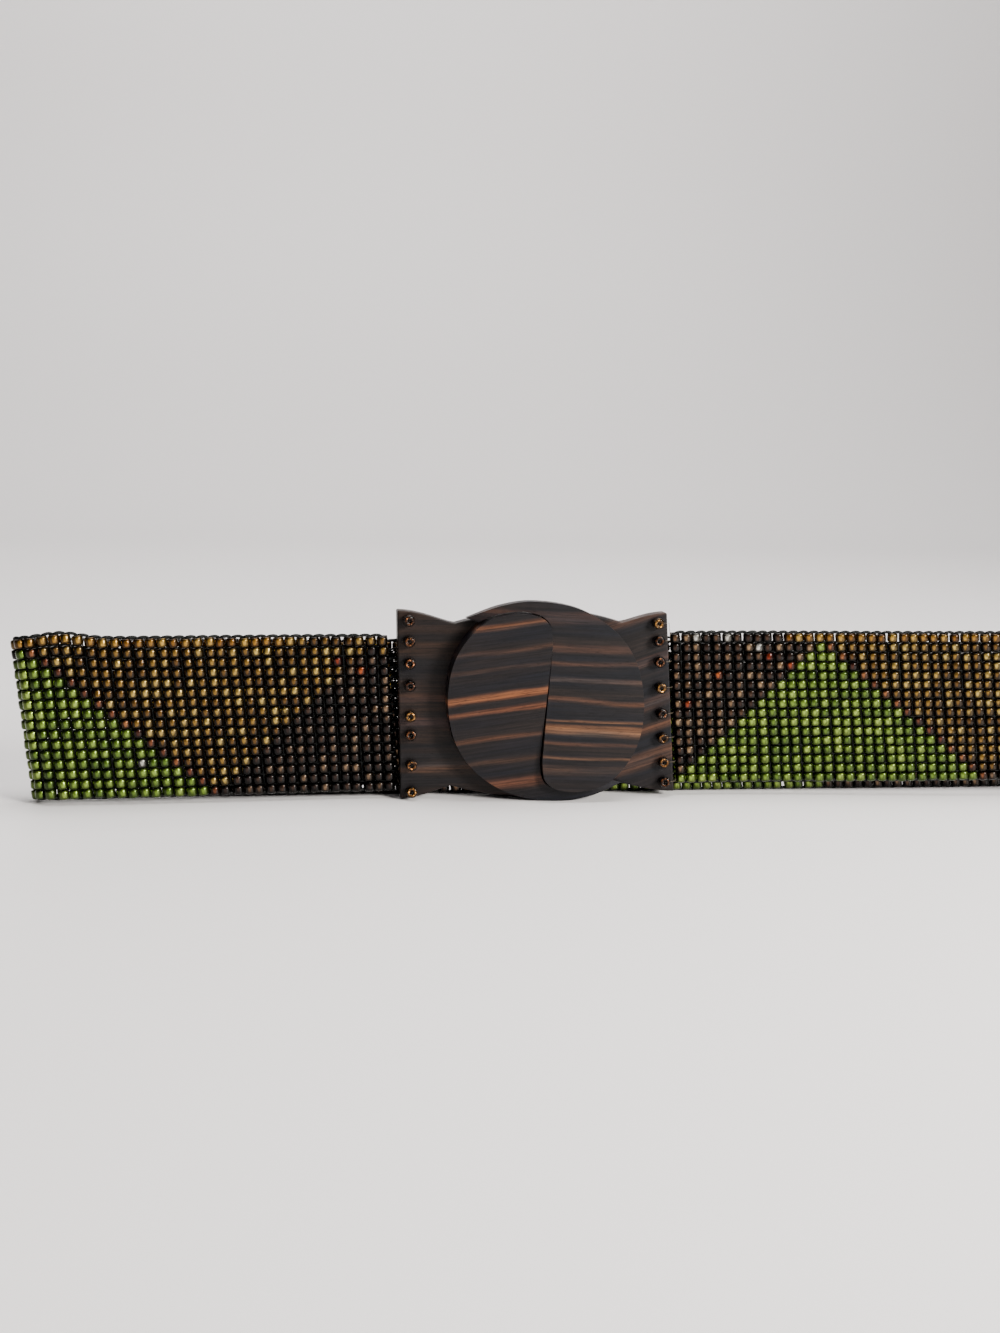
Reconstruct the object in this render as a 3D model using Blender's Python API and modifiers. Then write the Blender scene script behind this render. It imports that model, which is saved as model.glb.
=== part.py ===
"""Beaded belt with a wooden two-half buckle, fastened and standing on its long edge.

The band of woven seed beads is one ribbon that runs from the right half of the buckle round the right
fold, along the back, round the left fold and up to the left half. Each half of the buckle is a flat wing
plate with a thick comma-shaped head on its front. The two heads lie side by side and each keeps a tail
that passes round the top or the foot of the other. Metres, +Z up, the front of the buckle faces -Y.
"""
import math

import bmesh
import bpy
from mathutils import Matrix, Vector

# Clearances
SEAT_GAP = 0.0003
HEAD_GAP = 0.0004
PLATE_SEAM = 0.0004

# Woven band
BEAD_PITCH = 0.00355
BAND_COLUMNS = 166
BAND_HEIGHT = 0.050
BAND_THICKNESS = 0.0033
END_SLOPE = {"left": 0.075, "right": 0.084}
FOLD_SLOPE = {"left": 0.115, "right": 0.140}
LEAN_RUN = 0.060
BAND_RISE = 0.0042
# Share of the full rise at the buckle and at the start of the fold
RISE_SHARES = {"left": {"wing": 0.62, "fold": 0.42}, "right": {"wing": 0.95, "fold": 1.30}}

# Folded loop, seen from above
LEFT_RUN = 0.108
LEFT_FOLD_RADIUS = 0.0050
RIGHT_FOLD_RADIUS = 0.0060
BACK_CLEARANCE = 0.0007
RUN_SEGMENTS = 10
FOLD_SEGMENTS = 12
HEIGHT_SEGMENTS = 3
FIT_ROUNDS = 4

# Buckle plates
WING_REACH = {"left": 0.04505, "right": 0.0440}
WING_HEIGHT = {"left": 0.0608, "right": 0.0592}
WING_LENGTH = 0.0176
WING_SLOPE = {"left": 0.035, "right": 0.084}
PLATE_DROP = {"left": 0.0009, "right": 0.0003}
WAIST_HEIGHT = 0.0528
LOBE_HEIGHT = 0.0608
PLATE_THICKNESS = 0.005
PLATE_EDGE = 0.0005
EDGE_SEGMENTS = 2
FLARE_BIAS = 0.75
FLARE_STEPS = 8
LOBE_STEPS = 8

# Buckle heads
HEAD_RADIUS = 0.0315
HEAD_THICKNESS = 0.006
HEAD_TILT = math.radians(3.0)
HEAD_EDGE = 0.0006
HEAD_OFFSET_X = 0.0016
HEAD_OFFSET_Z = 0.0008
DIVIDER_SLOPE = 0.07
TAIL_TAPER_LENGTH = 0.012
TAIL_TIP_DROP = 0.002

# Hidden peg across the seam of the two plates
PEG_RADIUS = 0.0012
PEG_LENGTH = 0.022
PEG_SIDES = 14

# Lacing and its stud beads
STUD_INSET = 0.0035
STUD_RADIUS = 0.00185
STUD_LENGTH = 0.0026
STUD_SIDES = 14
STUD_PROFILE_STEPS = 5
STUD_FULLNESS = 0.7
THREAD_RADIUS = 0.0004
THREAD_SIDES = 8
HOLE_SIDES = 10
LACE_THICKNESS = 0.0008
LACE_WEB_DEPTH = 0.002
LACE_MARGIN = 0.0012
LACE_REACH = {"left": 0.0023, "right": 0.0011}

# Height of each stud bead above the middle of its wing, as a share of half the wing's height
STUD_HEIGHTS = {
    "left": (0.898, 0.679, 0.449, 0.216, -0.108, -0.309, -0.631, -0.920),
    "right": (0.890, 0.695, 0.463, 0.176, -0.112, -0.383, -0.662, -0.882),
}

# Edge of the right head from the middle of the divider, down round the foot, up the rim and out along
# the tail over the other head, as shares of HEAD_RADIUS from the middle of both heads
HEAD_EDGE_POINTS = (
    {"name": "divider_low", "x": -0.050, "z": -0.600},
    {"name": "foot_corner", "x": 0.002, "z": -0.800},
    {"name": "foot_inner", "x": 0.150, "z": -0.894},
    {"name": "foot", "x": 0.400, "z": -0.904},
    {"name": "foot_outer", "x": 0.690, "z": -0.800},
    {"name": "rim_low", "x": 0.935, "z": -0.475},
    {"name": "rim_side", "x": 1.012, "z": -0.060},
    {"name": "rim_high", "x": 0.930, "z": 0.390},
    {"name": "shoulder", "x": 0.700, "z": 0.722},
    {"name": "crown", "x": 0.330, "z": 0.950},
    {"name": "apex", "x": -0.120, "z": 1.027},
    {"name": "tail", "x": -0.480, "z": 0.982},
    {"name": "tail_tip", "x": -0.830, "z": 0.850},
)
EDGE_STEPS = 4
# Rows of the table whose turned-round copy bounds the inner side of the tail
TAIL_INNER_ROWS = 5

# Sizes that follow from those above
HEAD_TAIL_TIP = next(row for row in HEAD_EDGE_POINTS if row["name"] == "tail_tip")
BAND_LENGTH = BEAD_PITCH * BAND_COLUMNS
BAND_FRONT_Y = PLATE_THICKNESS / 2
BACK_RUN_Y = PLATE_THICKNESS + SEAT_GAP + LACE_THICKNESS + BACK_CLEARANCE + BAND_THICKNESS / 2

WOOD = {"name": "striped_ebony", "color": (0.040, 0.028, 0.022, 1.0), "roughness": 0.42}
WOOD_HEAD = {"name": "striped_ebony_head", "color": (0.055, 0.036, 0.026, 1.0), "roughness": 0.38}
GLASS_AMBER = {"name": "amber_glass", "color": (0.36, 0.14, 0.03, 1.0), "roughness": 0.12}
BEADED = {"name": "green_and_gold_beads", "color": (0.10, 0.12, 0.03, 1.0), "roughness": 0.25}
THREAD = {"name": "dark_thread", "color": (0.020, 0.022, 0.020, 1.0), "roughness": 0.7}
PEG_WOOD = {"name": "peg_wood", "color": (0.20, 0.12, 0.07, 1.0), "roughness": 0.6}


def clear_scene():
    for item in list(bpy.data.objects):
        bpy.data.objects.remove(item, do_unlink=True)


def new_collection(name):
    collection = bpy.data.collections.new(name)
    bpy.context.scene.collection.children.link(collection)
    return collection


def new_material(look):
    material = bpy.data.materials.new(look["name"])
    material.use_nodes = True
    shader = material.node_tree.nodes["Principled BSDF"]
    shader.inputs["Base Color"].default_value = look["color"]
    shader.inputs["Roughness"].default_value = look["roughness"]
    shader.inputs["Metallic"].default_value = 0.0
    material.diffuse_color = look["color"]
    return material


def smooth_step(share):
    share = min(1.0, max(0.0, share))
    return share * share * (3 - 2 * share)


def add_object(name, mesh, collection, material=None, parent=None):
    item = bpy.data.objects.new(name, mesh)
    collection.objects.link(item)
    if material:
        mesh.materials.clear()
        mesh.materials.append(material)
    if parent:
        item.parent = parent
    return item


def mesh_from_bmesh(name, bm):
    bmesh.ops.recalc_face_normals(bm, faces=bm.faces)
    mesh = bpy.data.meshes.new(name)
    bm.to_mesh(mesh)
    bm.free()
    return mesh


def add_bevel(item, width):
    bevel = item.modifiers.new("rounded edges", "BEVEL")
    bevel.width = width
    bevel.segments = EDGE_SEGMENTS
    bevel.limit_method = "ANGLE"
    bevel.angle_limit = math.radians(50)


def add_cut(item, cutter):
    cut = item.modifiers.new("cut by " + cutter.name, "BOOLEAN")
    cut.operation = "DIFFERENCE"
    cut.solver = "EXACT"
    cut.object = cutter


def hide_cutter(item):
    item.hide_render = True
    item.display_type = "WIRE"


def flat_slab(name, outline, thickness, collection):
    """Closed slab of a filled 2D outline, its faces at y = 0 and y = thickness."""
    curve = bpy.data.curves.new(name + "_outline", "CURVE")
    curve.dimensions = "2D"
    curve.fill_mode = "BOTH"
    curve.extrude = thickness / 2
    spline = curve.splines.new("POLY")
    spline.points.add(len(outline) - 1)
    for point, (x, z) in zip(spline.points, outline):
        point.co = (x, z, 0.0, 1.0)
    spline.use_cyclic_u = True
    drawn = bpy.data.objects.new(name + "_outline", curve)
    collection.objects.link(drawn)
    graph = bpy.context.evaluated_depsgraph_get()
    mesh = bpy.data.meshes.new_from_object(drawn.evaluated_get(graph))
    bpy.data.objects.remove(drawn, do_unlink=True)
    bm = bmesh.new()
    bm.from_mesh(mesh)
    bmesh.ops.remove_doubles(bm, verts=bm.verts, dist=0.00001)
    bmesh.ops.rotate(bm, verts=bm.verts, matrix=Matrix.Rotation(math.radians(90), 3, "X"))
    bmesh.ops.translate(bm, verts=bm.verts, vec=(0, thickness / 2, 0))
    bpy.data.meshes.remove(mesh)
    return mesh_from_bmesh(name, bm)


def cylinder_mesh(name, radius, start, end, sides):
    """Closed rod from one point to another."""
    start = Vector(start)
    end = Vector(end)
    along = end - start
    turn = along.to_track_quat("Z", "Y").to_matrix().to_4x4()
    bm = bmesh.new()
    bmesh.ops.create_cone(bm, cap_ends=True, segments=sides, radius1=radius, radius2=radius,
                          depth=along.length, matrix=Matrix.Translation((start + end) / 2) @ turn)
    return mesh_from_bmesh(name, bm)


def box_mesh(name, low, high):
    low = Vector(low)
    high = Vector(high)
    size = Matrix.Diagonal((high - low).to_4d())
    size[3][3] = 1.0
    bm = bmesh.new()
    bmesh.ops.create_cube(bm, size=1.0, matrix=Matrix.Translation((low + high) / 2) @ size)
    return mesh_from_bmesh(name, bm)


# Woven band: its route from above, its rise and its lean

def band_end_x(side):
    """Distance of the band's end from the middle of the buckle."""
    return WING_REACH[side] + LACE_REACH[side]


def front_run_y(fold_radius, share):
    """Depth of the front run, from the buckle at share 0 to the start of the fold at share 1."""
    fold_y = BACK_RUN_Y - 2 * fold_radius
    return BAND_FRONT_Y + (fold_y - BAND_FRONT_Y) * smooth_step(share)


def front_rise(side, share):
    """Share of the full rise along a front run, from the buckle at share 0 to the fold at share 1."""
    shares = RISE_SHARES[side]
    return shares["wing"] + (shares["fold"] - shares["wing"]) * share


def band_stations(right_run):
    """Stations along the band as (x, y, share of the full rise), right end first.

    Both front runs stand clear of the surface, and the band comes down to it through the folds.
    """
    stations = []
    fold_rise = {side: RISE_SHARES[side]["fold"] for side in RISE_SHARES}
    start_x = band_end_x("right")
    for step in range(RUN_SEGMENTS):
        share = step / RUN_SEGMENTS
        stations.append((start_x + right_run * share, front_run_y(RIGHT_FOLD_RADIUS, share),
                         front_rise("right", share)))
    for step in range(FOLD_SEGMENTS):
        share = step / FOLD_SEGMENTS
        angle = math.pi * share
        stations.append((start_x + right_run + RIGHT_FOLD_RADIUS * math.sin(angle),
                         BACK_RUN_Y - RIGHT_FOLD_RADIUS * (1 + math.cos(angle)),
                         fold_rise["right"] * (1 - smooth_step(share))))
    left_x = -band_end_x("left") - LEFT_RUN
    back_length = start_x + right_run - left_x
    for step in range(RUN_SEGMENTS):
        stations.append((start_x + right_run - back_length * step / RUN_SEGMENTS, BACK_RUN_Y, 0.0))
    for step in range(FOLD_SEGMENTS):
        share = step / FOLD_SEGMENTS
        angle = math.pi * share
        stations.append((left_x - LEFT_FOLD_RADIUS * math.sin(angle),
                         BACK_RUN_Y - LEFT_FOLD_RADIUS * (1 - math.cos(angle)),
                         fold_rise["left"] * smooth_step(share)))
    for step in range(RUN_SEGMENTS + 1):
        share = 1 - step / RUN_SEGMENTS
        stations.append((-band_end_x("left") - LEFT_RUN * share, front_run_y(LEFT_FOLD_RADIUS, share),
                         front_rise("left", share)))
    return stations


def route_lengths(stations):
    lengths = [0.0]
    for before, after in zip(stations, stations[1:]):
        lengths.append(lengths[-1] + math.hypot(after[0] - before[0], after[1] - before[1]))
    return lengths


def fitted_stations():
    """Stations of a loop whose right run takes up what is left of the band's length."""
    right_run = LEFT_RUN
    for _ in range(FIT_ROUNDS):
        stations = band_stations(right_run)
        right_run += (BAND_LENGTH - route_lengths(stations)[-1]) / 2
    return band_stations(right_run)


def band_point(station, travelled, left_over, height_share):
    """Point of the band's middle surface; height_share runs from 0 at the foot to 1 at the top."""
    to_left = smooth_step(travelled / (travelled + left_over))
    end_slope, fold_slope = (slopes["right"] + (slopes["left"] - slopes["right"]) * to_left
                             for slopes in (END_SLOPE, FOLD_SLOPE))
    slope = end_slope + (fold_slope - end_slope) * smooth_step(min(travelled, left_over) / LEAN_RUN)
    x, y, rise = station
    z = BAND_HEIGHT * height_share + BAND_RISE * rise
    return Vector((x - slope * (z - BUCKLE_MID_Z), y, z))


def band_rows():
    """Points of the band's middle surface, one row from foot to top for each station."""
    stations = fitted_stations()
    lengths = route_lengths(stations)
    shares = [row / HEIGHT_SEGMENTS for row in range(HEIGHT_SEGMENTS + 1)]
    return [[band_point(station, length, lengths[-1] - length, share) for share in shares]
            for station, length in zip(stations, lengths)]


def belt_middle():
    """Middle of the folded belt seen from above, in the buckle's own frame."""
    points = [point for row in band_rows() for point in row]
    xs = [point.x for point in points]
    heads_y = -SEAT_GAP - max(head_front(x, z) for x, z in head_outline())
    back_y = BACK_RUN_Y + BAND_THICKNESS / 2
    return (min(xs) + max(xs)) / 2, (heads_y + back_y) / 2


def band_side(rows, index):
    """Level direction square to the route at a station."""
    before = rows[max(index - 1, 0)][0]
    after = rows[min(index + 1, len(rows) - 1)][0]
    return Vector((after.y - before.y, before.x - after.x, 0)).normalized()


def make_band(collection, parent, material):
    """Wall of even thickness, lofted through one upright section for each station."""
    rows = band_rows()
    bm = bmesh.new()
    sections = []
    for index, middle in enumerate(rows):
        half = band_side(rows, index) * BAND_THICKNESS / 2
        loop = [point + half for point in middle] + [point - half for point in reversed(middle)]
        sections.append([bm.verts.new(point) for point in loop])
    for before, after in zip(sections, sections[1:]):
        for corners in zip(before, before[1:] + before[:1], after[1:] + after[:1], after):
            bm.faces.new(corners)
    bm.faces.new(sections[0])
    bm.faces.new(sections[-1])
    return add_object("beaded_band", mesh_from_bmesh("beaded_band", bm), collection, material, parent)


# Buckle plates: a flared wing, a waist and half of the lobe behind the heads

def lobe_radius(chord):
    drop = (LOBE_HEIGHT - WAIST_HEIGHT) / 2
    return (chord * chord + drop * drop) / (2 * drop)


def plate_outline(side):
    """Half-plate of one side, from the seam at the top round the wing and back to the seam at the foot."""
    direction = 1 if side == "right" else -1
    waist_x = WING_REACH[side] - WING_LENGTH
    radius = lobe_radius(waist_x)
    upper = []
    for step in range(LOBE_STEPS + 1):
        x = PLATE_SEAM / 2 + (waist_x - PLATE_SEAM / 2) * step / LOBE_STEPS
        upper.append((x, LOBE_HEIGHT / 2 - radius + math.sqrt(radius * radius - x * x)))
    for step in range(1, FLARE_STEPS + 1):
        share = step / FLARE_STEPS
        flare = smooth_step(share ** FLARE_BIAS)
        upper.append((waist_x + WING_LENGTH * share,
                      (WAIST_HEIGHT + (WING_HEIGHT[side] - WAIST_HEIGHT) * flare) / 2))
    lower = [(x, -z) for x, z in reversed(upper)]
    outline = [(direction * x - WING_SLOPE[side] * z * max(0, x - waist_x) / WING_LENGTH, z - PLATE_DROP[side])
               for x, z in upper + lower]
    return outline if side == "right" else list(reversed(outline))


def stud_places(side):
    """Middle of each stud bead's hole in the wing, relative to the middle of the buckle."""
    direction = 1 if side == "right" else -1
    x = direction * (WING_REACH[side] - STUD_INSET)
    heights = [share * WING_HEIGHT[side] / 2 for share in STUD_HEIGHTS[side]]
    return [(x - WING_SLOPE[side] * z, z - PLATE_DROP[side]) for z in heights]


def make_cutter(name, mesh, cutters, parent):
    cutter = add_object(name, mesh, cutters, parent=parent)
    hide_cutter(cutter)
    return cutter


def make_plate(side, collection, cutters, parent, material):
    mesh = flat_slab(side + "_plate", plate_outline(side), PLATE_THICKNESS, collection)
    plate = add_object(side + "_plate", mesh, collection, material, parent)
    add_bevel(plate, PLATE_EDGE)
    over = PLATE_THICKNESS / 2
    for number, (x, z) in enumerate(stud_places(side), start=1):
        hole = cylinder_mesh("hole", THREAD_RADIUS + SEAT_GAP, (x, -over, z), (x, PLATE_THICKNESS + over, z),
                             HOLE_SIDES)
        add_cut(plate, make_cutter(f"{side}_lacing_hole_{number}", hole, cutters, parent))
    reach = PEG_LENGTH / 2 + SEAT_GAP
    mid_y = PLATE_THICKNESS / 2
    bore = cylinder_mesh("bore", PEG_RADIUS + SEAT_GAP, (-reach, mid_y, 0), (reach, mid_y, 0), PEG_SIDES)
    add_cut(plate, make_cutter(side + "_peg_bore", bore, cutters, parent))
    return plate


def make_peg(collection, parent, material):
    mid_y = PLATE_THICKNESS / 2
    mesh = cylinder_mesh("hook_peg", PEG_RADIUS, (-PEG_LENGTH / 2, mid_y, 0), (PEG_LENGTH / 2, mid_y, 0),
                         PEG_SIDES)
    return add_object("hook_peg", mesh, collection, material, parent)


# Buckle heads: comma shapes, one the other turned half round

def smooth_path(points, steps):
    """Catmull-Rom curve through the points, with the end points kept."""
    padded = [points[0]] + list(points) + [points[-1]]
    path = []
    for index in range(len(points) - 1):
        a, b, c, d = (Vector(point) for point in padded[index:index + 4])
        for step in range(steps):
            t = step / steps
            path.append(0.5 * (2 * b + (c - a) * t + (2 * a - 5 * b + 4 * c - d) * t * t
                               + (3 * b - a - 3 * c + d) * t * t * t))
    path.append(Vector(points[-1]))
    return path


def pushed_out(path, distance):
    """Path moved sideways, to the right of its own direction."""
    moved = []
    for index, point in enumerate(path):
        before = path[max(index - 1, 0)]
        after = path[min(index + 1, len(path) - 1)]
        along = (after - before).normalized()
        moved.append(point + Vector((along.y, -along.x)) * distance)
    return moved


def divider_x(z):
    return HEAD_GAP / 2 + DIVIDER_SLOPE * z


def head_edge():
    """The straight divider from its middle, then the smooth edge through the table."""
    shape = [(HEAD_RADIUS * row["x"], HEAD_RADIUS * row["z"]) for row in HEAD_EDGE_POINTS]
    low_z = shape[0][1]
    shape[0] = (divider_x(low_z), low_z)
    return [Vector((divider_x(0.0), 0.0))] + smooth_path(shape, EDGE_STEPS)


# Height of the buckle's middle: the lower head's foot stands on the surface
BUCKLE_MID_Z = max(point.y for point in head_edge()) - HEAD_OFFSET_Z


def head_outline():
    """The head's own edge, then the other head's edge turned round and moved off by the gap."""
    own_edge = head_edge()
    last = 1 + (TAIL_INNER_ROWS - 1) * EDGE_STEPS
    facing = [-point for point in pushed_out(own_edge, HEAD_GAP)[1:last + 1]]
    return [tuple(point) for point in own_edge + list(reversed(facing))]


def head_front(x, z):
    """Thickness of the head at a place: it tilts, and its tail thins towards the tip."""
    full = HEAD_THICKNESS - math.tan(HEAD_TILT) * z
    tip_x = HEAD_RADIUS * HEAD_TAIL_TIP["x"]
    share = (tip_x + TAIL_TAPER_LENGTH - x) / TAIL_TAPER_LENGTH
    if share <= 0:
        return full
    return full - TAIL_TIP_DROP * share


def head_mesh(collection, material):
    """Right head with its back at y = 0 and its front towards -Y."""
    mesh = flat_slab("buckle_head", head_outline(), HEAD_THICKNESS, collection)
    bm = bmesh.new()
    bm.from_mesh(mesh)
    bpy.data.meshes.remove(mesh)
    bmesh.ops.translate(bm, verts=bm.verts, vec=(0, -HEAD_THICKNESS, 0))
    tip_x = HEAD_RADIUS * HEAD_TAIL_TIP["x"]
    parts = bm.verts[:] + bm.edges[:] + bm.faces[:]
    bmesh.ops.bisect_plane(bm, geom=parts, dist=0.000001, plane_co=(tip_x + TAIL_TAPER_LENGTH, 0, 0),
                           plane_no=(1, 0, 0))
    for vertex in bm.verts:
        if vertex.co.y < -HEAD_THICKNESS / 2:
            vertex.co.y = -head_front(vertex.co.x, vertex.co.z)
    shaped = mesh_from_bmesh("buckle_head", bm)
    shaped.materials.append(material)
    return shaped


def make_heads(collection, parent, material):
    mesh = head_mesh(collection, material)
    for side, turn in (("right", 0.0), ("left", math.pi)):
        head = bpy.data.objects.new(side + "_head", mesh)
        collection.objects.link(head)
        head.parent = parent
        head.location = (HEAD_OFFSET_X, -SEAT_GAP, HEAD_OFFSET_Z)
        head.rotation_euler = (0, turn, 0)
        add_bevel(head, HEAD_EDGE)


# Stud beads and the lacing that holds them and the band's ends

def stud_mesh(material):
    """Round bead bored along Y, its back at y = 0."""
    half = STUD_LENGTH / 2
    bore = THREAD_RADIUS + SEAT_GAP
    profile = []
    for step in range(1, STUD_PROFILE_STEPS):
        angle = math.pi * (step / STUD_PROFILE_STEPS - 0.5)
        bulge = (STUD_RADIUS - bore) * math.cos(angle) ** STUD_FULLNESS
        profile.append((bore + bulge, -half * math.sin(angle)))
    profile = [(bore, half)] + profile + [(bore, -half)]
    bm = bmesh.new()
    corners = [bm.verts.new((x, 0, z)) for x, z in profile]
    for before, after in zip(corners, corners[1:] + corners[:1]):
        bm.edges.new((before, after))
    bmesh.ops.spin(bm, geom=bm.verts[:] + bm.edges[:], axis=(0, 0, 1), cent=(0, 0, 0), angle=2 * math.pi,
                   steps=STUD_SIDES, use_merge=True)
    bmesh.ops.remove_doubles(bm, verts=bm.verts, dist=0.00001)
    bmesh.ops.rotate(bm, verts=bm.verts, matrix=Matrix.Rotation(math.radians(90), 3, "X"))
    bmesh.ops.translate(bm, verts=bm.verts, vec=(0, -half, 0))
    mesh = mesh_from_bmesh("stud_bead", bm)
    mesh.shade_smooth()
    mesh.materials.append(material)
    return mesh


def make_studs(collection, parent, material):
    mesh = stud_mesh(material)
    for side in ("left", "right"):
        for number, (x, z) in enumerate(stud_places(side), start=1):
            stud = bpy.data.objects.new(f"{side}_stud_bead_{number}", mesh)
            collection.objects.link(stud)
            stud.parent = parent
            stud.location = (x, -SEAT_GAP, z)


def add_join(item, other):
    join = item.modifiers.new("join " + other.name, "BOOLEAN")
    join.operation = "UNION"
    join.solver = "EXACT"
    join.object = other


def make_lacing(side, collection, cutters, parent, material):
    """Threads behind the wing, through its holes and round its outer edge to the band's end."""
    direction = 1 if side == "right" else -1
    edge_x = WING_REACH[side]
    places = stud_places(side)
    front_y = PLATE_THICKNESS + SEAT_GAP
    back_y = front_y + LACE_THICKNESS
    low_z = min(z for _, z in places) - LACE_MARGIN
    high_z = max(z for _, z in places) + LACE_MARGIN
    band_foot = BAND_RISE * RISE_SHARES[side]["wing"] - BUCKLE_MID_Z
    band_low = max(low_z, band_foot) + LACE_MARGIN
    band_high = min(high_z, band_foot + BAND_HEIGHT) - LACE_MARGIN
    web_out = band_end_x(side) - SEAT_GAP

    def lacing_box(name, inner_x, outer_x, y_range, z_range):
        """Box that leans with the wing's outer edge, or on a side at the band with the band's end."""
        xs = sorted((direction * inner_x, direction * outer_x))
        mesh = box_mesh(name, (xs[0], y_range[0], z_range[0]), (xs[1], y_range[1], z_range[1]))
        for vertex in mesh.vertices:
            at_band = abs(abs(vertex.co.x) - web_out) < SEAT_GAP / 2
            slope = END_SLOPE[side] if at_band else WING_SLOPE[side]
            vertex.co.x -= slope * vertex.co.z
        return mesh

    strip = lacing_box(side + "_lacing", edge_x - STUD_INSET - LACE_MARGIN, edge_x - LACE_MARGIN / 2,
                       (front_y, back_y), (low_z, high_z))
    lacing = add_object(side + "_lacing", strip, collection, material, parent)
    bridge = lacing_box("bridge", edge_x - LACE_MARGIN, web_out, (front_y, back_y), (band_low, band_high))
    add_join(lacing, make_cutter(side + "_lacing_bridge", bridge, cutters, parent))
    web = lacing_box("web", edge_x + SEAT_GAP, web_out, (BAND_FRONT_Y - LACE_WEB_DEPTH / 2, back_y),
                     (band_low, band_high))
    add_join(lacing, make_cutter(side + "_lacing_web", web, cutters, parent))
    for number, (x, z) in enumerate(places, start=1):
        thread = cylinder_mesh("thread", THREAD_RADIUS, (x, -STUD_LENGTH - SEAT_GAP, z),
                               (x, (front_y + back_y) / 2, z), THREAD_SIDES)
        add_join(lacing, make_cutter(f"{side}_lacing_thread_{number}", thread, cutters, parent))
    return lacing


def make_empty(name, collection, place, parent=None):
    empty = bpy.data.objects.new(name, None)
    collection.objects.link(empty)
    empty.location = place
    empty.parent = parent
    return empty


def build_belt():
    clear_scene()
    belt = new_collection("beaded_belt")
    helpers = new_collection("cutters_and_joints")
    middle_x, middle_y = belt_middle()
    frame = make_empty("belt_frame", belt, (-middle_x, -middle_y, 0))
    buckle = make_empty("buckle_middle", belt, (0, 0, BUCKLE_MID_Z), frame)
    wood = new_material(WOOD)
    thread = new_material(THREAD)
    make_band(belt, frame, new_material(BEADED))
    for side in ("left", "right"):
        make_plate(side, belt, helpers, buckle, wood)
        make_lacing(side, belt, helpers, buckle, thread)
    make_heads(belt, buckle, new_material(WOOD_HEAD))
    make_peg(belt, buckle, new_material(PEG_WOOD))
    make_studs(belt, buckle, new_material(GLASS_AMBER))


build_belt()
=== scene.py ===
import math

import bmesh
import bpy
import numpy as np
from mathutils import Matrix, Vector


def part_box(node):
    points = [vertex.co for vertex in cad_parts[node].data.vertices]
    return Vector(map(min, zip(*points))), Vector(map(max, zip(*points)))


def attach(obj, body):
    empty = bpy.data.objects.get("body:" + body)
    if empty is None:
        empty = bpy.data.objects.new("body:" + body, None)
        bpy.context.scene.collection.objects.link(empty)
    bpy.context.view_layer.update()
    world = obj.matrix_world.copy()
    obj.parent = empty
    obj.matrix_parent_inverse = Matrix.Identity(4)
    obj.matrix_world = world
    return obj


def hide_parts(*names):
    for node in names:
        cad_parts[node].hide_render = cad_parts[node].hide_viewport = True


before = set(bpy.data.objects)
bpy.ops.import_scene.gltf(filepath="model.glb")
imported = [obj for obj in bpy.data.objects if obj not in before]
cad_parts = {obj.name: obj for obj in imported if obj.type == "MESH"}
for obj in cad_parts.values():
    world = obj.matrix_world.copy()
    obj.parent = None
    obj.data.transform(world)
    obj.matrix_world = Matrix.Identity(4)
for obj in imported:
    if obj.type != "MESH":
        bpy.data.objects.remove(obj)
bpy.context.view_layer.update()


# Camera
# It stands about half a metre in front of the belt, a little to the left of the buckle and above the
# surface, and looks slightly down, as the photograph was taken.
IMAGE_WIDTH_PIXELS = 1000
FOCAL_PIXELS = 1600
SENSOR_MM = 36.0
CAMERA_PLACE = (-0.10483, -0.4991, 0.1232)
CAMERA_TURN = math.radians(9.6)
CAMERA_DIP = math.radians(9.0)
CAMERA_ROLL = math.radians(1.6)

camera_data = bpy.data.cameras.new("camera")
camera_data.sensor_fit = "HORIZONTAL"
camera_data.sensor_width = SENSOR_MM
camera_data.lens = SENSOR_MM * FOCAL_PIXELS / IMAGE_WIDTH_PIXELS
camera_data.clip_start = 0.01
camera = bpy.data.objects.new("camera", camera_data)
bpy.context.scene.collection.objects.link(camera)
looking = Vector((math.sin(CAMERA_TURN) * math.cos(CAMERA_DIP),
                  math.cos(CAMERA_TURN) * math.cos(CAMERA_DIP),
                  -math.sin(CAMERA_DIP)))
camera.matrix_world = (Matrix.Translation(CAMERA_PLACE)
                       @ looking.to_track_quat("-Z", "Y").to_matrix().to_4x4()
                       @ Matrix.Rotation(CAMERA_ROLL, 4, "Z"))
bpy.context.scene.camera = camera


# Seed beads
# Round silver-lined glass beads, strung up and down the band so that their holes stand across it, with
# three-sided fields of green and gold on dark brown counted from the right wing. The ribbon of bead
# columns leaves the right wing, turns round the right fold, runs back and turns round the left fold.
BEAD_PITCH = 0.00355
BAND_COLUMNS = 166
BAND_ROWS = 16
BAND_HEIGHT = 0.050
BAND_RISE = 0.0042
RISE_SHARES = {"left": {"wing": 0.62, "fold": 0.42}, "right": {"wing": 0.95, "fold": 1.30}}
END_SLOPE = {"left": 0.075, "right": 0.084}
FOLD_SLOPE = {"left": 0.115, "right": 0.140}
LEAN_RUN = 0.060
WING_REACH = {"left": 0.04505, "right": 0.0440}
PLATE_THICKNESS = 0.005
BACK_RUN_DEPTH = 0.00845
LEFT_RUN = 0.108
FOLD_RADIUS = {"left": 0.0050, "right": 0.0060}
LACE_REACH = {"left": 0.0023, "right": 0.0011}
ROUTE_STEPS = 160
FOLD_BUMP = {"rise": 0.0016, "before_fold": 0.009, "width": 0.008}

peg_low, peg_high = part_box("hook_peg")
plate_low, plate_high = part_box("left_plate")
BUCKLE_MIDDLE = Vector(((peg_low[0] + peg_high[0]) / 2, plate_low[1], (peg_low[2] + peg_high[2]) / 2))


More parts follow.
